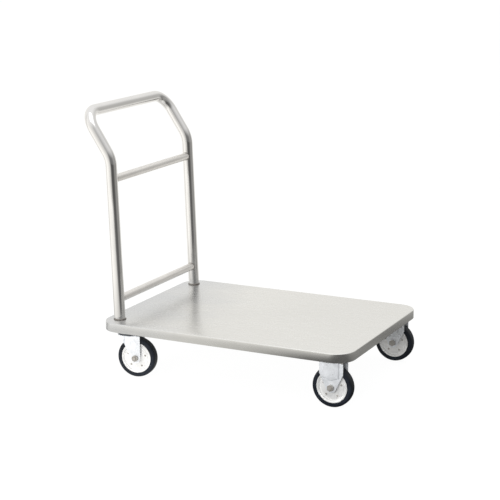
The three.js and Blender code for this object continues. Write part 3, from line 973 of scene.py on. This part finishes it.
def swivel_plate(name):
    """The fixed top plate of a swivel caster with its pressed dome over the ball race."""
    dome = rounded(millimetres([
        (21, 141.4, 0), (36, 141.4, 0.8), (36, 144.2, 1.2), (33.5, 147.5, 3), (31.5, 152.5, 0),
        (30, 152.5, 0), (31.5, 147.0, 3), (33.6, 144.4, 0.8), (21, 144.2, 0),
    ]), 0, 4)
    return joined(name, caster_plate(), turned("dome", dome, "zinc_plate", 0, 72, upright=True))


def ball_race(name):
    """The upper and lower tracks and the ring of balls between them."""
    lower = [
        (24, 134.8), (30.8, 134.8), (30.8, 136.8), (28.6, 136.9), (27.4, 136.0), (26.0, 136.9), (24, 136.9),
    ]
    upper = [
        (24, 138.9), (26.0, 138.9), (27.4, 139.9), (28.8, 138.9), (32.3, 138.6), (32.3, 140.2), (30.4, 141.0),
        (24, 141.0),
    ]
    pieces = []
    for part, outline in (("lower", lower), ("upper", upper)):
        pieces.append(turned(part, millimetres(outline), "dark_steel", 0.3 * MM, 64, upright=True))
    ball_radius = 1.95 * MM
    level = 137.9 * MM
    arc = []
    for k in range(11):
        angle = math.pi * k / 10
        arc.append((ball_radius * math.sin(angle), -ball_radius * math.cos(angle)))
    for x, y in circle(0, 0, 27.4 * MM, 28):
        ball = turned("ball", arc, "dark_steel", 0, 12)
        ball.data.transform(Matrix.Translation((x, y, level)))
        pieces.append(ball)
    return joined(name, *pieces)


def king_bolt(name):
    collar = hex_prism("collar", 20 * MM, 142.6 * MM, 150.6 * MM)
    rod = threaded_rod("rod", KING_RADIUS, -145 * MM, -133 * MM, -124.2 * MM)
    rod.data.transform(Matrix.Rotation(math.pi, 4, "X"))
    return joined(name, collar, rod)


def king_nut(name):
    return hex_prism(name, 22 * MM, 125.6 * MM, 131.6 * MM, KING_RADIUS + 0.2 * MM)


# ---- assembly ----
def spun(place, turn):
    return Matrix.Translation(place) @ Matrix.Rotation(turn, 4, "Z")


def wheel_set(end, hand, matrix, holder):
    """The wheel, its bearing and its axle, with the outer face on the +Y side of the matrix."""
    start = end + "_" + hand
    body = start + "_wheel"
    fixed(tyre(start + "_tyre_rubber"), body, matrix, [start + "_tyre"])
    for label, side in (("outer", 1), ("inner", -1)):
        shell, rivets = rim_half(start + "_rim_" + label + "_pressing", side)
        fixed(shell, body, matrix, [start + "_rim_" + label])
        fixed(rivets, body, matrix)
    fixed(roller_bearing(start + "_rollers"), body, matrix, [start + "_roller_bearing"])
    fixed(axle_sleeve(start + "_sleeve"), holder, matrix, [start + "_axle_sleeve"])
    fixed(axle_bolt(start + "_axle"), holder, matrix, [start + "_axle_bolt"])
    fixed(axle_nut(start + "_axle_lock_nut"), holder, matrix, [start + "_axle_nut"])


def front_caster(hand):
    start = "front_" + hand
    side = HANDS[hand]
    axle = centre(start + "_tyre")
    turn = 0 if side > 0 else math.pi
    ground = spun((axle.x, axle.y, 0), turn)
    at_axle = spun(axle, turn)
    fixed(rigid_bracket(start + "_pressed_bracket"), "frame", ground, [start + "_bracket"])
    fixed(plate_bolts(start + "_plate_bolts"), "frame", ground)
    wheel_set("front", hand, at_axle, "frame")


def rear_caster(hand):
    start = "rear_" + hand
    side = HANDS[hand]
    king = Vector(JOINTS[start + "_swivel"]["pos_m"])
    axle = centre(start + "_tyre")
    trail = math.atan2(axle.y - king.y, axle.x - king.x)
    turn = trail if side > 0 else trail + math.pi
    fork = spun((king.x, king.y, 0), trail)
    still = spun((king.x, king.y, 0), 0)
    fixed(swivel_plate(start + "_dome"), "frame", still, [start + "_swivel_plate"])
    fixed(plate_bolts(start + "_plate_bolts"), "frame", still)
    fixed(king_bolt(start + "_king_pin"), "frame", still, [start + "_king_bolt"])
    fixed(king_nut(start + "_king_lock_nut"), "frame", still, [start + "_king_nut"])
    fixed(swivel_fork(start + "_pressed_fork"), start + "_fork", fork, [start + "_fork"])
    fixed(ball_race(start + "_balls"), start + "_fork", fork, [start + "_ball_race"])
    wheel_set("rear", hand, spun(axle, turn), start + "_fork")


def dress_channels():
    for place in ("rear_cross", "middle_cross", "front_cross", "rear_spine", "front_spine"):
        piece = frame["nodes"][place + "_channel"]
        for slot in piece.material_slots:
            slot.link = "OBJECT"
            slot.material = MATERIALS["channel_sheet"]


deck_panel()
handle_bow()
crossbar("upper_crossbar", "upper_rail")
crossbar("lower_crossbar", "lower_rail")
for hand in HANDS:
    post_collar(hand + "_post_collar", hand + "_post_weld")
    front_caster(hand)
    rear_caster(hand)
dress_channels()


# ---- floor, lights and camera ----
# Brightness of the surroundings at each heading, in degrees from +X: a dark side towards the camera's right.
SURROUND = [
    (-180, 1.00), (-176, 1.00), (-171, 0.18), (-166, 1.00), (-150, 1.10), (-123, 0.98), (-108, 0.86),
    (-95, 0.74), (-84, 0.62), (-74, 0.36), (-64, 0.08), (-50, 0.02), (-22, 0.04), (0, 0.20), (20, 0.28),
    (40, 0.17), (58, 0.42), (85, 0.82), (116, 0.87), (150, 0.95),
]


def heading_ramp(tree, x, y):
    """The surround's grey at the heading of the direction or place (x, y)."""
    heading = tree.nodes.new("ShaderNodeMath")
    heading.operation = "ARCTAN2"
    tree.links.new(y, heading.inputs[0])
    tree.links.new(x, heading.inputs[1])
    unit = tree.nodes.new("ShaderNodeMapRange")
    unit.inputs["From Min"].default_value = -math.pi
    unit.inputs["From Max"].default_value = math.pi
    tree.links.new(heading.outputs["Value"], unit.inputs["Value"])
    bands = tree.nodes.new("ShaderNodeValToRGB")
    tree.links.new(unit.outputs["Result"], bands.inputs["Fac"])
    ramp = bands.color_ramp
    ramp.interpolation = "EASE"
    while len(ramp.elements) < len(SURROUND):
        ramp.elements.new(0.5)
    for element, (degrees, level) in zip(ramp.elements, SURROUND):
        element.position = (degrees + 180) / 360
        element.color = (level, level * 0.985, level * 0.95, 1)
    return bands.outputs["Color"]


def mixed(tree, factor, first, second):
    """A colour between two outputs or colours."""
    mix = tree.nodes.new("ShaderNodeMix")
    mix.data_type = "RGBA"
    tree.links.new(factor, mix.inputs["Factor"])
    for socket, value in ((mix.inputs[MIX_FIRST], first), (mix.inputs[MIX_SECOND], second)):
        if isinstance(value, tuple):
            socket.default_value = value
        else:
            tree.links.new(value, socket)
    return mix.outputs[MIX_RESULT]


def studio_floor():
    """A plain floor that shows white, and gives the object a shaded surround to reflect, with a painted
    shadow round the cart.
    """
    half = 40.0
    verts = [(-half, -half, -0.0006), (half, -half, -0.0006), (half, half, -0.0006), (-half, half, -0.0006)]
    mesh = bpy.data.meshes.new("studio_floor")
    mesh.from_pydata(verts, [], [(0, 1, 2, 3)])
    floor = bpy.data.objects.new("studio_floor", mesh)
    bpy.context.scene.collection.objects.link(floor)
    shader = Shader("studio_floor", (0.08, 0.08, 0.08), 0.9, Specular_IOR_Level=0.0)
    tree = shader.tree
    split = shader.node("ShaderNodeSeparateXYZ")
    shader.link(shader.coords, split.inputs["Vector"])
    seen = shader.node("ShaderNodeLightPath").outputs["Is Camera Ray"]
    glow = heading_ramp(tree, split.outputs["X"], split.outputs["Y"])
    # Painted shadow: seen only in reflections, the floor's glow is darkened by up to a third within 0.75 m of
    # the cart's middle, fading out by 1.6 m.
    reach = shader.node("ShaderNodeVectorMath", operation="LENGTH")
    shader.link(shader.coords, reach.inputs[0])
    near = shader.spread(reach.outputs["Value"], 0.34, 0.0, 0.75, 1.6)
    glow = mixed(tree, near, glow, (0, 0, 0, 1))
    shader.link(mixed(tree, seen, glow, (0.96, 0.96, 0.96, 1)), shader.base.inputs["Emission Color"])
    shader.base.inputs["Emission Strength"].default_value = 1.0
    mesh.materials.append(shader.material)


def studio_world():
    """White behind the object, shaded by heading near the horizon, bright overhead."""
    world = bpy.data.worlds.new("studio_world")
    bpy.context.scene.world = world
    world.use_nodes = True
    tree = world.node_tree
    background = tree.nodes["Background"]
    background.inputs["Strength"].default_value = 1.0
    coords = tree.nodes.new("ShaderNodeTexCoord")
    split = tree.nodes.new("ShaderNodeSeparateXYZ")
    tree.links.new(coords.outputs["Generated"], split.inputs["Vector"])
    ramp = heading_ramp(tree, split.outputs["X"], split.outputs["Y"])
    veil = tree.nodes.new("ShaderNodeMapRange")
    veil.inputs["From Min"].default_value = -1.0
    veil.inputs["To Min"].default_value = 0.0
    veil.inputs["To Max"].default_value = 0.3
    tree.links.new(split.outputs["Z"], veil.inputs["Value"])
    low = mixed(tree, veil.outputs["Result"], ramp, (1, 1, 1, 1))
    lift = tree.nodes.new("ShaderNodeMapRange")
    lift.inputs["From Min"].default_value = 0.28
    lift.inputs["From Max"].default_value = 0.85
    tree.links.new(split.outputs["Z"], lift.inputs["Value"])
    surround = mixed(tree, lift.outputs["Result"], low, (0.95, 0.95, 0.95, 1))
    seen = tree.nodes.new("ShaderNodeLightPath").outputs["Is Camera Ray"]
    tree.links.new(mixed(tree, seen, surround, (1, 1, 1, 1)), background.inputs["Color"])


def softbox(name, place, aim, size, power, mirrored=True):
    light = bpy.data.lights.new(name, "AREA")
    light.shape = "RECTANGLE"
    light.size, light.size_y = size
    light.energy = power
    lamp = bpy.data.objects.new(name, light)
    bpy.context.scene.collection.objects.link(lamp)
    lamp.location = place
    lamp.visible_glossy = mirrored
    lamp.rotation_euler = (Vector(aim) - Vector(place)).to_track_quat("-Z", "Y").to_euler()


def studio_camera():
    azimuth = math.radians(26.121)
    elevation = math.radians(13.124)
    roll = math.radians(-0.123)
    distance = 4.652664
    target = Vector((0.001731, 0, 0.375878))
    flat = math.cos(elevation)
    back = Vector((math.sin(azimuth) * flat, -math.cos(azimuth) * flat, math.sin(elevation)))
    data = bpy.data.cameras.new("studio_camera")
    data.sensor_width = 36
    data.lens = 107.18676
    data.clip_end = 200
    camera = bpy.data.objects.new("studio_camera", data)
    bpy.context.scene.collection.objects.link(camera)
    spin = back.to_track_quat("Z", "Y").to_matrix().to_4x4()
    camera.matrix_world = Matrix.Translation(target + back * distance) @ spin @ Matrix.Rotation(roll, 4, "Z")
    bpy.context.scene.camera = camera


studio_floor()
studio_world()
softbox("overhead_soft", (0.3, -0.6, 3.6), (0, 0, 0.2), (3.0, 2.4), 14)
softbox("near_soft", (0.1, -3.4, 0.8), (0.1, 0, 0.1), (3.0, 1.2), 95, mirrored=False)
studio_camera()
bpy.context.scene.view_settings.view_transform = "Standard"
